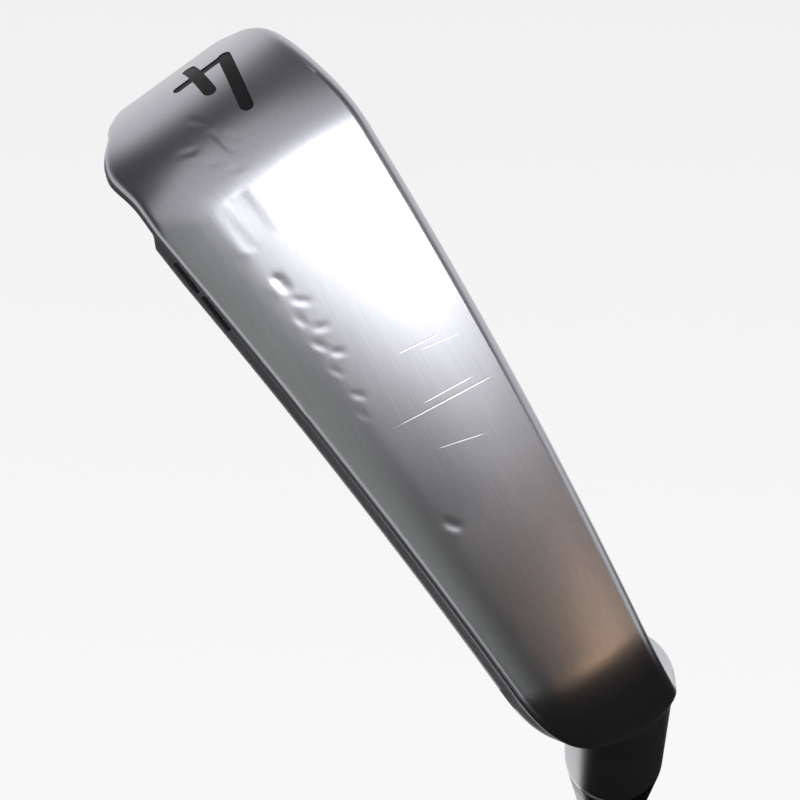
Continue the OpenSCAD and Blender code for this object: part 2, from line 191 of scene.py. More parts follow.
def face_y(h):
    return -LEAD_Y + h * math.tan(loft)


def sole_w(x):
    return mix(SOLE_HEEL_W, SOLE_TOE_W, (x - HEEL_X) / (TOE_X - HEEL_X))


def corner(a, b, c, r, n):
    """Arc of radius r, in n steps, that rounds the corner b of the path a, b, c, and its centre."""
    u, v = (a - b).normalized(), (c - b).normalized()
    half = u.angle(v) / 2
    mid = b + (u + v).normalized() * r / math.sin(half)
    s, e = b + u * r / math.tan(half) - mid, b + v * r / math.tan(half) - mid
    first, turn = math.atan2(s.y, s.x), math.atan2(s.x * e.y - s.y * e.x, s.dot(e))
    angles = [first + turn * k / n for k in range(n + 1)]
    return [mid + r * Vector((math.cos(t), math.sin(t))) for t in angles], mid


low_x = TOE_X - TOE_BULGE - 1.1 * TOE_LOW_R
low_a = Vector((low_x, sole_h(low_x)))
low_b = low_a + Vector((1, (low_x - ROCKER_X) / ROCKER_R)) * (TOE_X - TOE_BULGE - low_x)
side_b = Vector((TOE_X + TOE_BULGE / 2, TOE_H * 0.5))
top_b = Vector((TOE_X - TOE_BULGE, topline_h(TOE_X - TOE_BULGE)))
top_c = Vector((HEEL_X, HEEL_H))
low_arc, low_mid = corner(low_a, low_b, side_b, TOE_LOW_R, CORNER_N)
side_arc, _ = corner(low_b, side_b, top_b, TOE_SIDE_R, SIDE_N)
top_arc, _ = corner(side_b, top_b, top_c, TOE_TOP_R, CORNER_N)
sole_line = [mix(HEEL_X, low_x, k / (LINE_N - 1)) for k in range(LINE_N)]
outline = [Vector((x, sole_h(x))) for x in sole_line] + low_arc + side_arc + top_arc
outline += [mix(top_arc[-1], top_c, k / LINE_N) for k in range(1, LINE_N + 1)]
OUT_N = len(outline)
print("points in the outline:", OUT_N)

# %% [markdown]
# ## The band's cross-section
#
# Across the sole the real head is not flat. A rounded leading edge runs up to a crest and
# falls away again behind it, so that the club glides through turf, and under the back there
# is a small bevelled flange. Each outline point gets such a profile, blended between the
# sole's, the toe's and the topline's by the way the outline faces there.

# %% Lay the profile at every point of the outline


def out_dir(i):
    d = (outline[min(i + 1, OUT_N - 1)] - outline[max(i - 1, 0)]).normalized()
    return Vector((d.y, -d.x))


def band_w(i):
    """Width of the band at outline point i."""
    p, o = outline[i], out_dir(i)
    s, t = ease((-o.y - 0.3) / 0.6), ease((o.y - 0.3) / 0.5)
    rise = max(0, min(1, (p.y - 3) / (TOE_H - 15))) ** TOE_TAPER
    tuck = TOE_TUCK * (2 * o.x * min(0, o.y)) ** 2
    return s * sole_w(p.x) + t * TOPLINE_W + (1 - s - t) * mix(SOLE_TOE_W, TOPLINE_W, rise) - tuck


def relief(u):
    """How far the sole lies under its crest at u, from 0 in front to 1 behind."""
    if u < CREST_AT:
        return -FRONT_RELIEF * ((CREST_AT - u) / CREST_AT) ** 2
    return -BACK_RELIEF * ((u - CREST_AT) / (1 - CREST_AT)) ** 2


def band_row(i):
    """The band's points [x, y, h] at outline point i, from the face to the back."""
    p, o, w = outline[i], out_dir(i), band_w(i)
    s = ease((-o.y - 0.3) / 0.6)
    r = mix(LEADING_R, 0.8, ease(o.y * 0.75 + 0.75))
    grow = ease((TOE_X - FLANGE_END + FLANGE_FADE / 2 - p.x) / FLANGE_FADE) * s
    end = (w + max(0.1, FLANGE_OUT * grow), -TRAILING_R - mix(0.4, FLANGE_RISE, grow))
    quarter = math.pi / 2
    profile = [(r * (1 - math.cos(quarter * k / FRONT_N)), -r * (1 - math.sin(quarter * k / FRONT_N)))
               for k in range(FRONT_N + 1)]
    profile += [(mix(r, w - TRAILING_R, k / SOLE_N), 0) for k in range(1, SOLE_N)]
    profile += [(w - TRAILING_R * (1 - math.sin(quarter * k / BACK_N)),
                 -TRAILING_R * (1 - math.cos(quarter * k / BACK_N))) for k in range(BACK_N + 1)]
    profile += [(mix(w, end[0], k / BEVEL_N), mix(-TRAILING_R, end[1], k / BEVEL_N))
                for k in range(1, BEVEL_N + 1)]
    lean, row = loft * ease((o.y + 1) / 2), []
    for k, (back, out) in enumerate(profile):
        out += s * relief(max(0, min(1, back / w)))
        x = p.x + o.x * out - TOE_LEAN * max(0, o.x) * back
        h = p.y + o.y * out - math.sin(lean) * back
        front = face_y(h + math.sin(lean) * back) + back
        row.append(Vector((x, front if k <= FRONT_N else face_y(p.y) + math.cos(lean) * back, h)))
    return row


bands = [band_row(i) for i in range(OUT_N)]
BAND_N = len(bands[0])
print("points across the band:", BAND_N)

# %% [markdown]
# ## The neck
#
# At the heel the blade sweeps round into the round hosel. The blade's last section is a
# closed loop, so each of its points can follow a smooth curve, as a bent bar would, and land
# on a circle round the shaft's axis. The hosel then carries that circle up to its top.

# %% Sweep the heel's section into the hosel
first_loop = (bands[0] + [mix(bands[0][-1], bands[-1][-1], k / WEB_N) for k in range(1, WEB_N)]
              + bands[-1][::-1] + [mix(bands[-1][0], bands[0][0], k / WEB_N) for k in range(1, WEB_N)])
next_loop = (bands[1] + [mix(bands[1][-1], bands[-2][-1], k / WEB_N) for k in range(1, WEB_N)]
             + bands[-2][::-1] + [mix(bands[-2][0], bands[1][0], k / WEB_N) for k in range(1, WEB_N)])
LOOP_N = len(first_loop)
loop_len = [0]
for j in range(LOOP_N):
    loop_len.append(loop_len[-1] + (first_loop[(j + 1) % LOOP_N] - first_loop[j]).length)
loop_mid = loop_len[BAND_N // 2]
pivot = Vector((HEEL_X, HEEL_H + NECK_R))
axis_q = math.sin(lie) * pivot.x + math.cos(lie) * pivot.y
neck_end = pivot.y * math.sin(lie) - pivot.x * math.cos(lie)
HOSEL_ROWS = [0, 0.8, 1.6, 2.4, 4, 8, HOSEL_TOP - neck_end]


def curve(a, m, b, t):
    """From a, leaving with slope m, to b, arriving level."""
    return (1 + 2 * t) * (1 - t) ** 2 * a + t * (1 - t) ** 2 * m + t * t * (3 - 2 * t) * b


def neck_point(j, k):
    j, t, up = j % LOOP_N, min(1, k / FAN_N), HOSEL_ROWS[max(0, k - FAN_N)]
    p, slope = first_loop[j], next_loop[j] - first_loop[j]
    if k == 0:
        return p
    slope, q = slope / slope.x, pivot.y - p.z
    a = 2 * math.pi * (loop_len[j] - loop_mid) / loop_len[-1]
    r = mix(HOSEL_R + NECK_LIP, HOSEL_R, ease(up / 2.4))
    qt = curve(q, slope.z * q * lie, axis_q + r * math.cos(a), t)
    yt = curve(p.y, -slope.y * q * lie, r * math.sin(a), t)
    return (pivot.x - math.sin(lie * t) * qt + (p.x - pivot.x) * (1 - t) ** 2 - math.cos(lie) * up, yt,
            pivot.y - math.cos(lie * t) * qt + math.sin(lie) * up)


# %% [markdown]
# ## Four grids make the skin
#
# Blender has no primitive for this shape, but a grid can be laid on any surface that has two
# directions. One grid becomes the band, two close the face and the back, and one becomes the
# neck and hosel. Joined and merged at their edges, they are a closed skin.

# %% Lay the grids and join them


def laid_grid(name, columns, rows, place):
    """A grid whose point in column i and row k goes to place(i, k)."""
    grid = start(name, bpy.ops.mesh.primitive_grid_add, x_subdivisions=columns, y_subdivisions=rows, size=2)
    for point in grid.data.vertices:
        i, k = round((point.co.x + 1) / 2 * columns), round((point.co.y + 1) / 2 * rows)
        point.co = in_row(place(i, k))
    return grid


half = OUT_N // 2
band = laid_grid("band", OUT_N - 1, BAND_N - 1, lambda i, k: bands[i][k])
back = laid_grid("back", half, WEB_N, lambda i, k: mix(bands[i][-1], bands[OUT_N - 1 - i][-1], k / WEB_N))
face = laid_grid("face", half, WEB_N, lambda i, k: mix(bands[i][0], bands[OUT_N - 1 - i][0], k / WEB_N))
neck = laid_grid("neck", LOOP_N, FAN_N + len(HOSEL_ROWS) - 1, neck_point)
skin = join([band, back, face, neck], "skin")
close_up(skin)
pick(skin)
bpy.ops.object.mode_set(mode="EDIT")
bpy.ops.mesh.select_all(action="DESELECT")
bpy.ops.mesh.select_non_manifold(extend=False)
bpy.ops.mesh.edge_face_add()
bpy.ops.object.mode_set(mode="OBJECT")
close_up(skin)

# %% [markdown]
# ## Dents and nicks
#
# An iron that has been played carries bag chatter: short crescent dents with a soft rim,
# mostly along the crest of the sole. A bump texture would not change the outline of a
# highlight as a real dent does, so each one is pushed into the mesh, a shallow valley with
# the metal raised beside it.

# %% Push the dents into the sole
# Place along the sole and back from the leading edge, length, width, turn in degrees and depth
DENTS = [
    (67.6, 16.1, 3.9, 0.8, 4, 0.10), (67.7, 15.0, 1.6, 0.7, 20, 0.05), (66.1, 18.4, 1.4, 0.8, 60, 0.06),
    (68.5, 19.8, 1.9, 0.7, 75, 0.05), (70.9, 16.2, 2.1, 0.7, 35, 0.06), (64.4, 17.0, 1.5, 0.6, 70, 0.05),
    (60.9, 18.8, 2.5, 1.5, 100, 0.08), (57.1, 20.7, 1.9, 1.2, 60, 0.09), (59.0, 19.0, 1.3, 0.6, 20, 0.05),
    (50.8, 19.5, 1.7, 1.0, 10, 0.09), (51.7, 19.7, 1.0, 0.8, 80, 0.07), (48.2, 18.6, 2.0, 0.6, 55, 0.05),
    (46.4, 19.8, 1.6, 0.6, 20, 0.05), (44.6, 18.2, 1.6, 0.6, 80, 0.05), (43.0, 19.4, 1.8, 0.6, 35, 0.05),
    (41.3, 18.0, 1.5, 0.6, 65, 0.05), (39.5, 19.2, 1.6, 0.5, 30, 0.04), (37.2, 23.4, 1.9, 0.8, 40, 0.07),
    (18.0, 16.1, 2.3, 0.9, 40, 0.08), (36.0, 18.4, 1.6, 0.5, 50, 0.05), (33.8, 19.0, 1.4, 0.5, 20, 0.04)]


def dent_depth(x, y):
    """How deep in mm the sole is pushed in at x and y, negative where a rim stands up."""
    depth = 0
    for at_x, at_y, length, width, turn, deep in DENTS:
        c, s = math.cos(math.radians(turn)), math.sin(math.radians(turn))
        along, across = (x - at_x) * c + (y - at_y) * s, (y - at_y) * c - (x - at_x) * s
        across += 0.25 * along * along / length
        reach = math.exp(-(2 * along / length) ** 4)
        depth += deep * reach * math.exp(-(2 * across / width) ** 2)
        depth -= 0.35 * deep * reach * math.exp(-(2 * across / width - 2.2) ** 2)
    return depth


row_to_head = head_to_row.inverted()
out_of_sole = (head_to_row.to_3x3() @ Vector((0, 0, 1))).normalized()
moved = 0
for point in skin.data.vertices:
    in_head = row_to_head @ point.co
    if -in_head.z < 12 * MM and point.normal.dot(out_of_sole) > 0.6:
        deep = dent_depth(in_head.x / MM, in_head.y / MM - face_y(-in_head.z / MM))
        if abs(deep) > 0.001:
            point.co -= point.normal * deep * MM
            moved += 1
print("points moved by dents:", moved)

# %% [markdown]
# ## Cutting tools for the head
#
# What a workshop drills, mills and stamps is cut here with booleans: a tool in the shape of
# the hole is laid in place and taken away. The cavity and the grooves are laid on the face's
# own plane, x to the toe, y up the face and z into the head.

# %% Sizes of the cuts
FACE_T, GROOVES, GROOVE_PITCH, GROOVE_W, GROOVE_DEPTH = 2.6, 11, 3, 0.9, 0.45
GROOVE_L, GROOVE_X, GROOVE_LOW = 51, 14, 5
CAVITY_HEEL, CAVITY_TOE, CAVITY_LOW, CAVITY_RIM, CAVITY_R = 16, 17, 8, 12, 5
BORE_DEPTH, TIP_R, EPOXY_T = 32, 4.7, 0.12


def on_face(p):
    """A point of the face's plane, [x, up, into the head], as [x, y, h]."""
    x, up, deep = p
    return (x, -LEAD_Y + up * math.sin(loft) + deep * math.cos(loft),
            up * math.cos(loft) - deep * math.sin(loft))


def laid_box(name, low, high, place):
    """A box from low to high, with each corner sent through place."""
    box = start(name, bpy.ops.mesh.primitive_cube_add, size=1)
    for point in box.data.vertices:
        point.co = in_row(place([mix(a, b, t + 0.5) for a, b, t in zip(low, high, point.co)]))
    close_up(box)
    return box


def laid_plate(name, shape, low, high, place, lift=0):
    """A plate with an outline of [x, y] points, from depth low to depth high, lifted on its way by lift."""
    plate = start(name, bpy.ops.mesh.primitive_circle_add, vertices=len(shape), fill_type="NGON")
    points = list(plate.data.vertices)
    for point, (x, y) in zip(points, shape):
        point.co = in_row(place((x, y, low)))
    step = in_row(place((0, lift, high))) - in_row(place((0, 0, low)))
    pick(plate)
    bpy.ops.object.mode_set(mode="EDIT")
    bpy.ops.mesh.select_all(action="SELECT")
    bpy.ops.mesh.extrude_region_move(TRANSFORM_OT_translate={"value": step})
    bpy.ops.object.mode_set(mode="OBJECT")
    close_up(plate)
    return plate


def cavity_shape(inset, steps=12):
    """The cavity's outline on the face's plane, drawn inwards by inset."""
    lo = CAVITY_LOW + CAVITY_R
    heel_hi = topline_h(CAVITY_HEEL) / math.cos(loft) - CAVITY_RIM
    toe_hi = topline_h(TOE_X - CAVITY_TOE) / math.cos(loft) - CAVITY_RIM
    mids = [Vector(p) for p in ((CAVITY_HEEL, lo), (TOE_X - CAVITY_TOE, lo),
                                (TOE_X - CAVITY_TOE, toe_hi), (CAVITY_HEEL, heel_hi))]
    shape, r = [], CAVITY_R - inset
    for n, mid in enumerate(mids):
        before, after = mid - mids[n - 1], mids[(n + 1) % 4] - mid
        a = math.atan2(-before.x, before.y)
        turn = before.angle(after)
        for k in range(steps + 1):
            t = a + turn * k / steps
            shape.append(mid + r * Vector((math.cos(t), math.sin(t))))
    return shape


tip = CLUB_LENGTH - HOSEL_TOP
bore = start("bore", bpy.ops.mesh.primitive_cylinder_add, vertices=96, radius=(TIP_R + EPOXY_T) * MM,
             depth=(BORE_DEPTH + 1) * MM, location=(0, 0, (tip + (BORE_DEPTH - 1) / 2) * MM))
cavity = laid_plate("cavity", cavity_shape(0), FACE_T, 60, on_face, lift=(60 - FACE_T) * math.tan(loft))
groove_tools = [laid_box("groove", (GROOVE_X, low, -1), (GROOVE_X + GROOVE_L, low + GROOVE_W, GROOVE_DEPTH),
                         on_face)
                for low in [GROOVE_LOW + k * GROOVE_PITCH for k in range(GROOVES)]]
grooves = join(groove_tools, "grooves")
print("cavity mm:", [round(1000 * x, 1) for x in cavity.dimensions])

# %% [markdown]
# ## The number
#
# The club's number is stamped in the sole at the toe and filled with black enamel. It is
# three strokes with round ends. Each stroke is half of a circle drawn away from the other
# half and pulled up to a prism. The recess follows the sole: the prism is trimmed with a
# copy of the skin sunk by the recess's depth, so its floor stays parallel to the metal.

# %% Stamp the number and fill it
NUMBER_DEPTH, FILL_UNDER, NUMBER_SCALE = 0.6, 0.12, 12 / 12.4
NUMBER_TURN, STAMP_TURN, NUMBER_BACK = math.radians(52.5), math.radians(35), 11.1
STROKES = [((0, 0), (1.6, 9.6), 1.7), ((0, 0), (6.9, 1.2), 1.2), ((4.1, -2.4), (4.1, 4.7), 1.7)]
NUMBER_MID = Vector((3, 3.6))
number_x = low_mid.x + TOE_LOW_R * math.sin(NUMBER_TURN)
number_h0 = low_mid.y - TOE_LOW_R * math.cos(NUMBER_TURN)


def at_number(p):
    """A point [x, y, out] of the stamp's own plane as [x, y, h]."""
    x, y, out = p
    return (number_x + x * math.cos(STAMP_TURN) + out * math.sin(STAMP_TURN),
            face_y(number_h0) + NUMBER_BACK + y,
            number_h0 + x * math.sin(STAMP_TURN) - out * math.cos(STAMP_TURN))


def stroke(a, b, width, steps=10):
    """One stroke of the number as a prism."""
    a, b = ((Vector(p) - NUMBER_MID) * NUMBER_SCALE for p in (a, b))
    a, b = Vector((-a.y, a.x)), Vector((-b.y, b.x))
    along = math.atan2((b - a).y, (b - a).x)
    shape = [(b if k <= steps else a) + width / 2 * NUMBER_SCALE * Vector((math.cos(t), math.sin(t)))
             for k in range(2 * steps + 2)
             for t in [along - math.pi / 2 + math.pi * (k if k <= steps else k - 1) / steps]]
    return laid_plate("stroke", shape, -8, 6, at_number)


sink = head_to_row.to_3x3() @ Vector((-math.sin(STAMP_TURN), 0, -math.cos(STAMP_TURN)))
number = stroke(*STROKES[0])
for values in STROKES[1:]:
    cut(number, stroke(*values), "UNION")
recess_floor = copy_of(skin, "recess_floor", sink * NUMBER_DEPTH)
enamel_top = copy_of(skin, "enamel_top", sink * FILL_UNDER)
number_fill = copy_of(number, "number_enamel")
cut(number_fill, enamel_top, "INTERSECT")
cut(number_fill, recess_floor, keep=True)
cut(number, recess_floor)
print("enamel faces:", len(number_fill.data.polygons))

# %% [markdown]
# ## The marks on the flange
#
# Two short bars of the same enamel lie on the bevel behind the sole. Each is a box laid on the
# bevel: a deep one cuts the slot, and a lower one, left a little under the metal, is the paint.

# %% Lay the marks
MARKS, MARK_H, MARK_LOW, SLOT_DEPTH = [(22, 4.2), (27, 4.8)], 1.4, 0.5, 0.5
bevel_turn = (Matrix.Rotation(math.atan2(SOLE_TOE_W - SOLE_HEEL_W, TOE_X - HEEL_X), 3, "Z")
              @ Matrix.Rotation(-math.atan2(FLANGE_RISE, FLANGE_OUT), 3, "X"))


def mark_box(back_from_toe, length, top):
    """A box on the bevel, from the slot's floor to top mm over the metal."""
    x = TOE_X - back_from_toe
    mid = Vector((x, face_y(sole_h(x)) + sole_w(x) + FLANGE_OUT / 2,
                  -sole_h(x) - BACK_RELIEF - TRAILING_R - FLANGE_RISE / 2))

    def on_bevel(p):
        q = mid + bevel_turn @ Vector(p)
        return (q.x, q.y, -q.z)
    return laid_box("mark", (-length / 2, -MARK_H / 2 - MARK_LOW, -SLOT_DEPTH),
                    (length / 2, MARK_H / 2 - MARK_LOW, top), on_bevel)


mark_slots = [mark_box(*mark, 1) for mark in MARKS]
mark_fill = join([mark_box(*mark, -FILL_UNDER) for mark in MARKS], "mark_enamel")

# %% [markdown]
# ## Cutting the head
#
# The skin is copied once more, and every tool is taken away from it. The bore and the cavity go
# first, as they would in a workshop, and the fine stamps come last.

# %% Cut the head
club_head = copy_of(skin, "club_head")
cut(club_head, bore)
cut(club_head, cavity)
cut(club_head, grooves)
cut(club_head, number)
for slot in mark_slots:
    cut(club_head, slot)
print("head faces:", len(club_head.data.polygons))

# %% [markdown]
# ## The badge in the cavity
#
# Behind the face sits a thin plate on a soft damper. The plate is stamped aluminium: its rim
# is bevelled, and a shallow panel is pressed into it by two insets, one flat and one down.

# %% Make the badge plate and its damper
ADHESIVE_T, DAMPER_T, PLATE_T, BADGE_GAP = 0.2, 1.2, 0.8, 1
damper_z = FACE_T + ADHESIVE_T
plate_z = damper_z + DAMPER_T
into_head = (in_row(on_face((0, 0, 1))) - in_row(on_face((0, 0, 0)))).normalized()


def choose_faces(piece, wanted):
    """Selects, in edit mode, only the faces that wanted says yes to."""
    pick(piece)
    bpy.ops.object.mode_set(mode="EDIT")
    bpy.ops.mesh.select_mode(type="FACE")
    bpy.ops.mesh.select_all(action="DESELECT")
    bpy.ops.object.mode_set(mode="OBJECT")
    for polygon in piece.data.polygons:
        polygon.select = wanted(polygon)
    bpy.ops.object.mode_set(mode="EDIT")


def looks_inwards(polygon):
    return polygon.normal.dot(into_head) > 0.99


badge_damper = laid_plate("damper_pad", cavity_shape(BADGE_GAP), damper_z, plate_z, on_face)
badge_plate = laid_plate("badge", cavity_shape(BADGE_GAP), plate_z, plate_z + PLATE_T, on_face)
choose_faces(badge_plate, looks_inwards)
bpy.ops.mesh.bevel(offset=0.25 * MM, segments=3, affect="EDGES")
bpy.ops.object.mode_set(mode="OBJECT")
choose_faces(badge_plate, looks_inwards)
bpy.ops.mesh.inset(thickness=2.2 * MM, depth=0)
bpy.ops.mesh.inset(thickness=0.3 * MM, depth=-0.3 * MM)
bpy.ops.mesh.inset(thickness=2.5 * MM, depth=0)
bpy.ops.mesh.inset(thickness=0.3 * MM, depth=0.2 * MM)
bpy.ops.object.mode_set(mode="OBJECT")
print("badge faces:", len(badge_plate.data.polygons))

# %% [markdown]
# ## Turned pieces
#
# The shaft, the ferrule, its ring, the grip and the cap are all round. A lathe would turn
# them, and so does this helper: it adds a circle, and then again and again extrudes it to
# the next height and scales it to the next radius, until the line closes on itself.

# %% A lathe


def turned(name, line, sides=96):
    """A ring turned from a closed line of (radius, height) in mm."""
    r, z = line[0]
    piece = start(name, bpy.ops.mesh.primitive_circle_add, vertices=sides, radius=r * MM,
                  location=(0, 0, z * MM))
    pick(piece)
    bpy.ops.object.mode_set(mode="EDIT")
    bpy.ops.mesh.select_mode(type="VERT")
    bpy.ops.mesh.select_all(action="SELECT")
    for next_r, next_z in list(line[1:]) + [line[0]]:
        bpy.ops.mesh.extrude_region_move(TRANSFORM_OT_translate={"value": (0, 0, (next_z - z) * MM)})
        bpy.ops.transform.resize(value=(next_r / r, next_r / r, 1), center_override=(0, 0, 0))
        r, z = next_r, next_z
    bpy.ops.object.mode_set(mode="OBJECT")
    close_up(piece)
    return piece


# %% [markdown]
# ## The shaft
#
# A steel shaft is drawn down in steps from butt to tip. Each step is a short cone, and its
# edges are what a chrome finish shows best. The shaft is a tube with a wall of half a
# millimetre, so its line goes up the outside and comes back down the inside.

# %% Turn the shaft and the band round it
BUTT_R, WALL, STEPS, STEP_PITCH, STEP_CONE, TIP_L, TIP_GAP = 7.62, 0.45, 15, 38, 1.2, 230, 0.3
CAP_T, PLUG_L, GRIP_L, BAND_GAP, BAND_L, BAND_T = 3, 4, 267, 3, 22, 0.08
shaft_z = CAP_T + PLUG_L
tip_z = CLUB_LENGTH - HOSEL_TOP + BORE_DEPTH - TIP_GAP
first_step, step_r = tip_z - TIP_L, (BUTT_R - TIP_R) / STEPS
shaft_table = [(0, BUTT_R)]
for k in range(STEPS - 1, -1, -1):
    shaft_table += [(first_step - k * STEP_PITCH - STEP_CONE, TIP_R + (k + 1) * step_r),
                    (first_step - k * STEP_PITCH, TIP_R + k * step_r)]
shaft_table += [(CLUB_LENGTH, TIP_R)]


def along(table, a, b, more=0):
    """The table's line from height a to height b as (radius, height), moved out by more."""
    def radius(z):
        for (z0, r0), (z1, r1) in zip(table, table[1:]):
            if z0 <= z <= z1:
                return mix(r0, r1, (z - z0) / (z1 - z0))
    return ([(radius(a) + more, a)] + [(r + more, z) for z, r in table if a < z < b]
            + [(radius(b) + more, b)])


shaft = turned("stepped_shaft", along(shaft_table, shaft_z, tip_z)
               + along(shaft_table, shaft_z, tip_z, -WALL)[::-1])
band_low = GRIP_L + BAND_GAP
shaft_band = turned("foil_band", along(shaft_table, band_low, band_low + BAND_L, BAND_T)
                    + along(shaft_table, band_low, band_low + BAND_L)[::-1])
print("shaft mm:", [round(1000 * x, 1) for x in shaft.dimensions])

# %% [markdown]
# ## Ferrule and ring
#
# The ferrule is a black plastic cone that hides the step from the shaft to the hosel, with a
# bright ring between it and the head. Two fine grooves and softened edges are what a buffed
# ferrule shows, and they cost a few more points in its line.

# %% Turn the ferrule and the ring
RING_T, FERRULE_L, FERRULE_END, FERRULE_GAP = 1.6, 24, 0.7, 0.04
ring_low = CLUB_LENGTH - HOSEL_TOP - RING_T
ferrule_low = ring_low - FERRULE_L
bore_r = TIP_R + FERRULE_GAP
ferrule_ring = turned("hosel_ring", [
    (bore_r, ring_low), (HOSEL_R - 0.25, ring_low), (HOSEL_R, ring_low + 0.25), (HOSEL_R, ring_low + 0.7),
    (HOSEL_R - 0.12, ring_low + 0.8), (HOSEL_R, ring_low + 0.9), (HOSEL_R, ring_low + RING_T - 0.15),
    (HOSEL_R - 0.15, ring_low + RING_T), (bore_r, ring_low + RING_T)])


def ferrule_r(z):
    return mix(TIP_R + FERRULE_END, HOSEL_R, (z - ferrule_low) / FERRULE_L)


ferrule_line = [(bore_r, ferrule_low), (TIP_R + FERRULE_END - 0.25, ferrule_low),
                (ferrule_r(ferrule_low + 0.3), ferrule_low + 0.3)]
for groove in (ring_low - 5.2, ring_low - 2.6):
    ferrule_line += [(ferrule_r(groove), groove), (ferrule_r(groove) - 0.25, groove + 0.2),
                     (ferrule_r(groove) - 0.25, groove + 0.4), (ferrule_r(groove + 0.6), groove + 0.6)]
ferrule_line += [(HOSEL_R - 0.02, ring_low - 0.15), (HOSEL_R - 0.15, ring_low), (bore_r, ring_low)]
ferrule = turned("ferrule_cone", ferrule_line)
print("ferrule from", round(ferrule_low, 1), "to", round(ring_low, 1))

# %% [markdown]
# ## The grip
#
# A rubber grip slides over tape on the shaft. Its outer wall thins from cap to mouth, and
# its tread is moulded: small recesses all round, in rows. The wall is turned with one loop
# per row, and the faces that make the pattern are inset and pushed in, each on its own. The
# last centimetres at both ends stay plain, and a groove near the mouth holds a painted ring.

# %% Turn the grip and press in its tread
TAPE_T, GRIP_BUTT_R, GRIP_MOUTH_R = 0.25, 13.5, 8.9
MARK_DEPTH, MARK_UNDER, MARK_W, MARK_BACK, GRIP_N = 0.4, 0.1, 2, 14, 12
TREAD_PITCH, TREAD_SIDES, TREAD_DEEP = 2.4, 64, 0.35
grip_table = [(k / GRIP_N * GRIP_L, GRIP_MOUTH_R + (GRIP_BUTT_R - GRIP_MOUTH_R) * (1 - k / GRIP_N) ** 1.3)
              for k in range(GRIP_N + 1)]
mark_z = GRIP_L - MARK_BACK
tread_low, tread_high = CAP_T + 10, mark_z - 6
rows = round((tread_high - tread_low) / TREAD_PITCH)
heights = [mix(tread_low, tread_high, k / rows) for k in range(rows + 1)]


def grip_r(z):
    return along(grip_table, z, z)[0][0]


grip_line = [(grip_r(CAP_T), CAP_T)] + [(grip_r(z), z) for z in heights]
grip_line += [(grip_r(mark_z), mark_z), (grip_r(mark_z) - MARK_DEPTH, mark_z),
              (grip_r(mark_z + MARK_W) - MARK_DEPTH, mark_z + MARK_W),
              (grip_r(mark_z + MARK_W), mark_z + MARK_W),
              (grip_r(GRIP_L - 0.6), GRIP_L - 0.6), (grip_r(GRIP_L) - 0.35, GRIP_L)]
grip_line += along(shaft_table, CAP_T, GRIP_L, TAPE_T)[::-1]
grip = turned("rubber_grip", grip_line, sides=TREAD_SIDES)


def in_tread(polygon):
    x, y, z = polygon.center / MM
    if not tread_low < z < tread_high or math.hypot(x, y) <= grip_r(z) - 0.3:
        return False
    row = int((z - tread_low) / (tread_high - tread_low) * rows)
    column = int((math.atan2(y, x) / (2 * math.pi) + 1) * TREAD_SIDES)
    return (column + row) % 2 == 0 and row % 20 > 0


choose_faces(grip, in_tread)
bpy.ops.mesh.inset(thickness=0.22 * MM, depth=-TREAD_DEEP * MM, use_individual=True)
bpy.ops.object.mode_set(mode="OBJECT")
print("grip faces:", len(grip.data.polygons))

# %% [markdown]
# ## The cap and the painted ring
#
# The cap closes the grip's end. Two shallow rings are pressed in it, and a vent in the middle
# lets the air out when the grip is slid on. The painted ring lies just under the rubber.

# %% Turn the cap and the painted ring
CAP_EDGE, VENT_R = 1, 1.6
cap_line = [(VENT_R, 0.35), (VENT_R + 0.3, 0), (5, 0), (5.2, 0.3), (6.2, 0.3), (6.4, 0), (9, 0), (9.2, 0.3),
            (10.2, 0.3), (10.4, 0)]
cap_line += [(GRIP_BUTT_R - CAP_EDGE + 0.9 * math.sin(t), CAP_EDGE - CAP_EDGE * math.cos(t))
             for t in [math.pi / 2 * k / 5 for k in range(6)]]
cap_line += [(grip_r(CAP_T - 0.3), CAP_T - 0.3), (grip_r(CAP_T) - 0.3, CAP_T), (BUTT_R + TAPE_T, CAP_T),
             (BUTT_R + TAPE_T, shaft_z), (VENT_R, shaft_z)]
grip_cap = turned("grip_end_cap", cap_line)
mark_line = along(grip_table, mark_z, mark_z + MARK_W, -MARK_UNDER)
grip_mark = turned("painted_ring", mark_line + along(grip_table, mark_z, mark_z + MARK_W, -MARK_DEPTH)[::-1],
                   sides=TREAD_SIDES)
print("cap mm:", [round(1000 * x, 1) for x in grip_cap.dimensions])

# %% [markdown]
# ## Who stands for whom
#
# The frame's own coarse pieces are hidden where a finer one now stands in, and every new
# piece rides on the club's one body, because nothing on a golf club moves.

# %% Shade the pieces and hand them to the frame
bpy.data.objects.remove(skin)
MADE = [(club_head, "head", "head_steel", 28), (number_fill, "sole_number_fill", "enamel", 35),
        (mark_fill, "back_mark_fill", "enamel", 30),
        (badge_damper, "badge_damper", "damper_rubber", 30), (badge_plate, "badge_plate", "badge_metal", 20),
        (ferrule_ring, "ferrule_ring", "ring_metal", 20), (ferrule, "ferrule", "ferrule_plastic", 20),
        (shaft, "shaft", "shaft_chrome", 6), (shaft_band, "shaft_band", "band_foil", 8),
        (grip, "grip", "grip_rubber", 25), (grip_cap, "grip_cap", "grip_rubber", 25),
        (grip_mark, "grip_mark_fill", "white_paint", 20)]
for piece, cad_node, slot, sharp in MADE:
    smooth(piece, sharp)
    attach(piece, "root")
    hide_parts(cad_node)
print("triangles:", sum(sum(len(p.vertices) - 2 for p in piece.data.polygons) for piece, *_ in MADE))

# %% [markdown]
# ## How the finishes are made
#
# Every finish is a small tree of nodes on Object coordinates, which on these pieces are the
# club's own metres. A scale of 1000 divided by a size in millimetres therefore gives a
# pattern that size. One function adds a node with its settings, values and links.

# %% Node and colour helpers


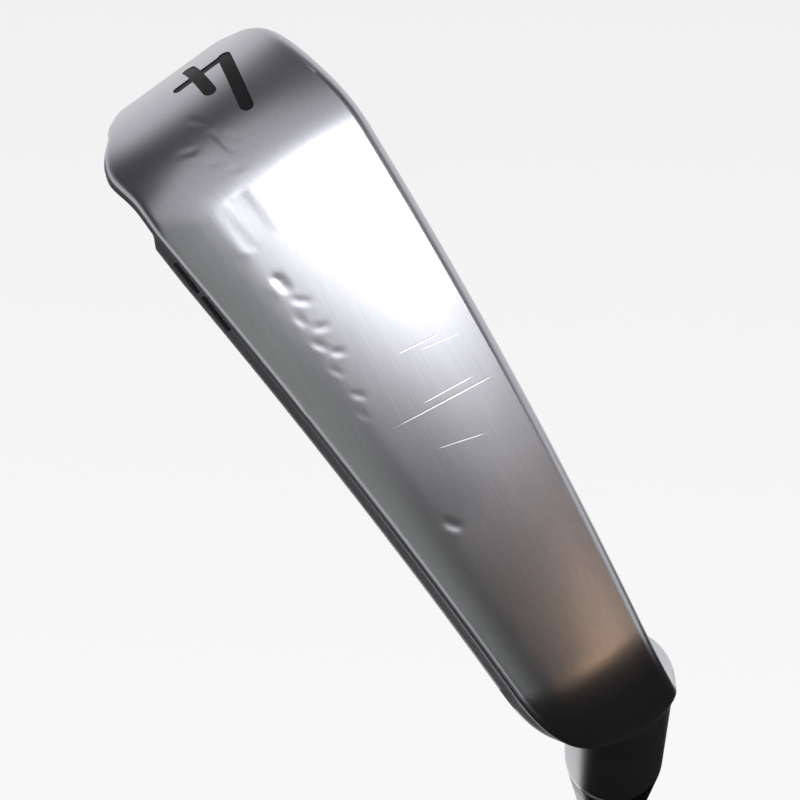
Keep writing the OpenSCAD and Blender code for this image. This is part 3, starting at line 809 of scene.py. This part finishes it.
def linear(hex_colour):
    """An sRGB hex colour as linear red, green, blue and alpha."""
    parts = [int(hex_colour[k:k + 2], 16) / 255 for k in (1, 3, 5)]
    return [c / 12.92 if c <= 0.04045 else ((c + 0.055) / 1.055) ** 2.4 for c in parts] + [1]


def node(tree, kind, inputs=None, **settings):
    """Adds a node. A socket's value may be a number, a colour or another node's output."""
    made = tree.nodes.new(kind)
    for key, value in settings.items():
        setattr(made, key, value)
    for key, value in (inputs or {}).items():
        if isinstance(value, bpy.types.NodeSocket):
            tree.links.new(value, made.inputs[key])
        else:
            made.inputs[key].default_value = value
    return made


def finish(name):
    """A new empty material and its tree."""
    made = bpy.data.materials.new(name)
    made.use_nodes = True
    made.node_tree.nodes.clear()
    return made, made.node_tree


def surface(tree, **inputs):
    """Ends a tree in one Principled surface; underscores in names stand for spaces."""
    inputs = {key.replace("_", " "): value for key, value in inputs.items()}
    shader = node(tree, "ShaderNodeBsdfPrincipled", inputs)
    node(tree, "ShaderNodeOutputMaterial", {"Surface": shader.outputs["BSDF"]})


def own_place(tree):
    """The piece's own coordinates, in metres."""
    return node(tree, "ShaderNodeTexCoord").outputs["Object"]


def head_place(tree, origin=(0, 0, 0)):
    """The same coordinates, turned so that x runs along the sole."""
    return node(tree, "ShaderNodeMapping", {"Vector": own_place(tree), "Rotation": (0, lie - math.pi / 2, 0),
                                            "Location": origin}, vector_type="TEXTURE").outputs["Vector"]


def stretched(tree, place, scale):
    return node(tree, "ShaderNodeVectorMath", {0: place, 1: scale}, operation="MULTIPLY").outputs[0]


def noise(tree, place, size, detail, roughness=0.5):
    """A noise with features of that size in mm."""
    return node(tree, "ShaderNodeTexNoise", {"Vector": place, "Scale": 1000 / size, "Detail": detail,
                                             "Roughness": roughness}).outputs["Fac"]


def ranged(tree, value, low, high, start=0, end=1):
    """Turns the values from start to end into low to high."""
    return node(tree, "ShaderNodeMapRange", {"Value": value, "From Min": start, "From Max": end,
                                             "To Min": low, "To Max": high}).outputs["Result"]


def blend(tree, factor, a, b):
    """A colour from a to b; a may be a socket."""
    a = linear(a) if isinstance(a, str) else a
    return node(tree, "ShaderNodeMix", {"Factor": factor, "A": a, "B": linear(b)},
                data_type="RGBA").outputs["Result"]


def bumped(tree, height, strength, deep):
    """A normal for a height that is deep mm at its strongest."""
    return node(tree, "ShaderNodeBump", {"Height": height, "Strength": strength,
                                         "Distance": deep * MM}).outputs["Normal"]


def maths(tree, operation, a, b=0):
    return node(tree, "ShaderNodeMath", {0: a, 1: b}, operation=operation).outputs[0]


# %% [markdown]
# ## Satin stainless steel
#
# The head is cast stainless steel, brushed from heel to toe with a fine belt and then worn.
# Brushing leaves hair lines that are long in one direction and fine in the other, so a noise is
# stretched about 30 to 1 along the sole. A wider, weaker noise makes the shine a little uneven.
# Stones in the turf leave a few straight bright scratches across the hair lines: each is a thin
# strip round a line, faded at both ends, that both lightens the metal and sinks in it.

# %% Brushed steel for the head
HAIR_MM, SMUDGE_MM, SCRATCH_DEEP = 0.22, 14, 3
# x at the start and at the end, y at the start and at the end, and half of the width
SCRATCHES = [(30.2, 30.9, -0.2, 13.4, 0.10), (31.3, 31.6, 2.0, 9.0, 0.06), (37.4, 37.8, 3.2, 8.7, 0.08),
             (36.2, 36.9, 1.0, 6.0, 0.05), (25.0, 26.4, 4.0, 10.0, 0.05), (46.0, 45.2, 2.5, 7.0, 0.05)]


def scratch(tree, x, y, start_x, end_x, start_y, end_y, wide):
    """1 on one scratch and 0 off it, for the head's own x and y."""
    slant = (end_x - start_x) / (end_y - start_y)
    off = maths(tree, "SUBTRACT", x, (start_x - slant * start_y) * MM)
    off = maths(tree, "ABSOLUTE", maths(tree, "SUBTRACT", off, maths(tree, "MULTIPLY", y, slant)))
    away = maths(tree, "ABSOLUTE", maths(tree, "SUBTRACT", y, (start_y + end_y) / 2 * MM))
    length = (end_y - start_y) * MM
    return maths(tree, "MULTIPLY", ranged(tree, off, 0, 1, wide * MM, 0),
                 ranged(tree, away, 0, 1, length / 2, length / 3))


steel, tree = finish("brushed_stainless_steel")
place = head_place(tree, (0, 0, CLUB_LENGTH * MM))
hair = noise(tree, stretched(tree, place, (0.03, 1, 1)), HAIR_MM, 3, 0.6)
smudge = noise(tree, place, SMUDGE_MM, 1)
axes = node(tree, "ShaderNodeSeparateXYZ", {0: place})
scratched = 0
for line in SCRATCHES:
    one = scratch(tree, axes.outputs["X"], axes.outputs["Y"], *line)
    scratched = maths(tree, "MAXIMUM", one, scratched)
tint = blend(tree, scratched, blend(tree, hair, "#b7b8c0", "#d3d3d8"), "#f4f4f4")
sunk = maths(tree, "SUBTRACT", hair, maths(tree, "MULTIPLY", scratched, SCRATCH_DEEP))
surface(tree, Base_Color=tint, Metallic=1, Roughness=ranged(tree, smudge, 0.29, 0.34, 0.2, 0.8),
        Normal=bumped(tree, sunk, 0.16, 0.02))
print("steel nodes:", len(tree.nodes))

# %% [markdown]
# ## Chrome, bright metal and foil
#
# The shaft is nickel and chrome plated: almost a mirror, with a faint waviness from drawing.
# The ring is turned and polished, so its fine lines run round it. The badge is brushed along
# the sole, the band is printed foil, and the weight in the shaft's tip is turned brass.

# %% Chrome, ring, badge, foil and brass
chrome, tree = finish("chrome_plate")
wave = noise(tree, own_place(tree), 14, 3)
surface(tree, Base_Color=linear("#cfd2d6"), Metallic=1, Roughness=ranged(tree, wave, 0.05, 0.14),
        Normal=bumped(tree, wave, 0.05, 0.05))

ring_metal, tree = finish("polished_turned_steel")
rings = noise(tree, stretched(tree, own_place(tree), (0.02, 0.02, 1)), 0.2, 2)
surface(tree, Base_Color=linear("#d9dadd"), Metallic=1, Roughness=ranged(tree, rings, 0.1, 0.22))

badge_metal, tree = finish("anodised_aluminium")
brush = noise(tree, stretched(tree, head_place(tree), (0.02, 1, 1)), 0.3, 2)
surface(tree, Base_Color=blend(tree, brush, "#7d8086", "#a3a6ab"), Metallic=1,
        Roughness=ranged(tree, brush, 0.28, 0.42))

foil, tree = finish("printed_foil")
crinkle = noise(tree, own_place(tree), 3, 2)
surface(tree, Base_Color=blend(tree, crinkle, "#1b1b20", "#2c2d34"), Metallic=0.6, Roughness=0.25,
        Coat_Weight=0.5, Normal=bumped(tree, crinkle, 0.1, 0.05))

brass, tree = finish("turned_brass")
lines = noise(tree, own_place(tree), 0.8, 2)
surface(tree, Base_Color=linear("#c9a65a"), Metallic=1, Roughness=ranged(tree, lines, 0.2, 0.4))

# %% [markdown]
# ## Paint, plastic and rubber
#
# The stamped number is filled with black enamel that has dulled, and carries dust. The ferrule
# is buffed acetate. The grip is rubber: nearly black, soft in its shine, with a fine moulded
# grain and paler dust on what the hands rub.

# %% Enamel, acetate, rubber, paint, tape and adhesive
enamel, tree = finish("black_enamel")
dust = noise(tree, own_place(tree), 0.5, 4)
surface(tree, Base_Color=blend(tree, ranged(tree, dust, 0, 1, 0.62, 0.75), "#060607", "#1d1d1f"),
        Roughness=ranged(tree, dust, 0.5, 0.7), Normal=bumped(tree, dust, 0.15, 0.03))

acetate, tree = finish("buffed_black_acetate")
haze = noise(tree, own_place(tree), 4, 3)
surface(tree, Base_Color=blend(tree, haze, "#0d0d0f", "#19191c"), Roughness=ranged(tree, haze, 0.12, 0.3))

rubber, tree = finish("moulded_rubber")
grain = noise(tree, own_place(tree), 0.6, 4)
worn = noise(tree, own_place(tree), 30, 3)
surface(tree, Base_Color=blend(tree, worn, "#141415", "#29292b"), Roughness=ranged(tree, worn, 0.85, 0.6),
        Normal=bumped(tree, grain, 0.3, 0.08))

paint, tree = finish("white_paint")
chips = noise(tree, own_place(tree), 1.2, 4)
surface(tree, Base_Color=blend(tree, ranged(tree, chips, 0, 1, 0.6, 0.7), "#e9e8e4", "#a9a8a4"),
        Roughness=0.5)

tape, tree = finish("paper_tape")
crepe = noise(tree, stretched(tree, own_place(tree), (0.3, 0.3, 1)), 0.7, 3)
surface(tree, Base_Color=linear("#d8cfae"), Roughness=0.8, Normal=bumped(tree, crepe, 0.4, 0.05))

resin, tree = finish("cured_epoxy")
cloud = noise(tree, own_place(tree), 2, 2)
surface(tree, Base_Color=blend(tree, cloud, "#8f8364", "#b7ab86"), Roughness=0.4)
print("finishes:", len(bpy.data.materials))

# %% [markdown]
# ## Which finish goes where
#
# Each node of the frame has one finish. Where a finer piece stands in for a node, both get it,
# so the club looks the same from whichever of the two is shown.

# %% Give each piece its finish
FINISHES = {"head": steel, "sole_number_fill": enamel, "back_mark_fill": enamel, "badge_adhesive": resin,
            "badge_damper": rubber, "badge_plate": badge_metal, "hosel_epoxy": resin, "tip_weight": brass,
            "ferrule_ring": ring_metal, "ferrule": acetate, "shaft": chrome, "shaft_band": foil,
            "grip_tape": tape, "grip": rubber, "grip_cap": rubber, "grip_mark_fill": paint}
made_for = {cad_node: piece for piece, cad_node, *_ in MADE}
for cad_node, look in FINISHES.items():
    for piece in {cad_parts[cad_node], made_for.get(cad_node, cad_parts[cad_node])}:
        piece.data.materials.clear()
        piece.data.materials.append(look)

# %% [markdown]
# ## The studio
#
# The club stands grip down on a plain pale floor, and the camera looks down on the sole from
# a hand's length away. Polished metal only shows what it reflects, so the light is shaped for
# that. Two nested soft boxes give the sole its bright part with a soft edge, a wide one lights
# the toe, and a dim one lights the strip behind. Dark cards stand where the heel, the neck and
# the flange would mirror the white floor, and two small warm lamps give the heel a warm glow.
# The camera and shiny metal see the floor as nearly white, with a painted falloff from white to a faint grey
# across it, and only a little light and shadow.

# %% Floor, world and lamps
SEEN_SHARE, FLOOR_FALLOFF_WAY = 0.93, (0.82, -0.57, 0)
floor = start("floor", bpy.ops.mesh.primitive_plane_add, size=12)
pale, tree = finish("pale_floor")
rays = node(tree, "ShaderNodeLightPath").outputs
seen = maths(tree, "ADD", maths(tree, "ADD", rays["Is Camera Ray"], rays["Is Glossy Ray"]),
             rays["Is Transmission Ray"])
share = node(tree, "ShaderNodeMath", {0: seen, 1: SEEN_SHARE}, operation="MULTIPLY", use_clamp=True)
plain = node(tree, "ShaderNodeBsdfDiffuse", {"Color": linear("#f0f0f0")})
# Painted falloff: the floor's glowing white is painted a little greyer along this way, as if the light faded
# across it.
away = node(tree, "ShaderNodeVectorMath", {0: own_place(tree), 1: FLOOR_FALLOFF_WAY}, operation="DOT_PRODUCT")
painted_falloff = blend(tree, ranged(tree, away.outputs["Value"], 0, 1, 0.2, 0.72), "#ffffff", "#f7f7f7")
glow = node(tree, "ShaderNodeEmission", {"Color": painted_falloff, "Strength": 1})
both = node(tree, "ShaderNodeMixShader", {0: share.outputs[0], 1: plain.outputs[0], 2: glow.outputs[0]})
node(tree, "ShaderNodeOutputMaterial", {"Surface": both.outputs[0]})
floor.data.materials.append(pale)

world = bpy.data.worlds.new("studio")
bpy.context.scene.world = world
world.use_nodes = True
tree = world.node_tree
tree.nodes.clear()
place = node(tree, "ShaderNodeTexCoord")
height = node(tree, "ShaderNodeSeparateXYZ", {0: place.outputs["Generated"]})
up = node(tree, "ShaderNodeMapRange", {"Value": height.outputs["Z"], "From Min": 0.15, "From Max": 0.5},
          interpolation_type="SMOOTHSTEP")
sky = blend(tree, up.outputs["Result"], "#f4f4f4", "#2c2d31")
back_light = node(tree, "ShaderNodeBackground", {"Color": sky, "Strength": 0.9})
node(tree, "ShaderNodeOutputWorld", {"Surface": back_light.outputs[0]})

head_mid = Vector(in_row((45, 8, 10)))


def lamp(name, towards, distance, width, depth, power, colour="#ffffff"):
    """A soft box of width by depth metres that looks at the head, along a direction [x, y, z] of the head."""
    way = (head_to_row.to_3x3() @ Vector(towards)).normalized()
    bpy.ops.object.light_add(type="AREA", location=head_mid + way * distance)
    made = bpy.context.object
    made.name, made.data.shape, made.data.size, made.data.size_y = name, "RECTANGLE", width, depth
    made.data.energy, made.data.color = power, linear(colour)[:3]
    made.rotation_euler = way.to_track_quat("Z", "Y").to_euler()
    made.visible_camera = False


def flag(name, colour, corners):
    """A card with those corners in metres that the camera doesn't see and polished metal does."""
    look, tree = finish(name)
    cloth = node(tree, "ShaderNodeBsdfDiffuse", {"Color": linear(colour)})
    node(tree, "ShaderNodeOutputMaterial", {"Surface": cloth.outputs[0]})
    card = start(name, bpy.ops.mesh.primitive_plane_add, size=1)
    for point, corner_at in zip(card.data.vertices, corners):
        point.co = corner_at
    card.data.materials.append(look)
    card.visible_camera = card.visible_shadow = False


flag("floor_flag", "#101010", [(-1.1, -0.9, 0.7), (0.02, -0.9, 0.7), (-1.1, 0.9, 0.7), (0.02, 0.9, 0.7)])
flag("heel_flag", "#101010", [(-1.1, -1.5, 0.5), (-1.1, 1.5, 0.5), (-1.3, -1.5, 1.6), (-1.3, 1.5, 1.6)])
flag("back_flag", "#707270", [(-0.6, 0.4, 0.1), (0.9, 0.4, 0.1), (-0.6, 0.4, 0.93), (0.9, 0.4, 0.93)])
lamp("toe_fill", (0.55, -0.12, 0.8), 1.1, 1.1, 1.1, 2.2)
lamp("soft_box", (0.12, -0.4, 0.9), 1.0, 0.4, 0.5, 1.3)
lamp("soft_box_core", (0.14, -0.38, 0.91), 0.96, 0.22, 0.28, 1.0)
lamp("back_fill", (-0.1, 0.5, 0.86), 1.0, 0.8, 0.8, 0.7, "#f0f4e8")
lamp("warm_pane", (-0.43, -0.44, 0.8), 0.9, 0.05, 0.04, 0.035, "#ffd8b8")
lamp("warm_tube", (-0.56, -0.37, 0.75), 0.9, 0.22, 0.02, 0.16, "#ffd0a0")

# %% [markdown]
# ## The camera
#
# The camera sits where the sole is seen square on, turned so that the toe points up and
# left, and tipped a few degrees so that the flange behind the sole just shows.

# %% Set the camera
CAMERA_TURNS, CAMERA_FAR, CAMERA_F, CAMERA_MID = (0.0115, 0.1893, 2.0874), 240, 2155, (408.8, 345.5)
turn = Matrix.Identity(3)
for angle, axis in zip(CAMERA_TURNS, "XYZ"):
    turn = turn @ Matrix.Rotation(angle, 3, axis)
toward = turn.transposed() @ Vector((0, 0, 1))
aim = Vector((38, 7, 0))
eye = aim + toward * CAMERA_FAR
bpy.ops.object.camera_add()
camera = bpy.context.object
to_row = head_to_row.to_3x3() @ turn.transposed()
camera.matrix_world = Matrix.Translation(head_to_row @ (eye * MM)) @ to_row.to_4x4()
camera.data.sensor_width = 36
camera.data.lens = 36 * CAMERA_F / 800
camera.data.shift_x = (400 - CAMERA_MID[0]) / 800
camera.data.shift_y = (CAMERA_MID[1] - 400) / 800
camera.data.clip_start = 0.01
bpy.context.scene.camera = camera
bpy.context.scene.view_settings.view_transform = "Standard"
print("camera at mm:", [round(1000 * x) for x in camera.location])
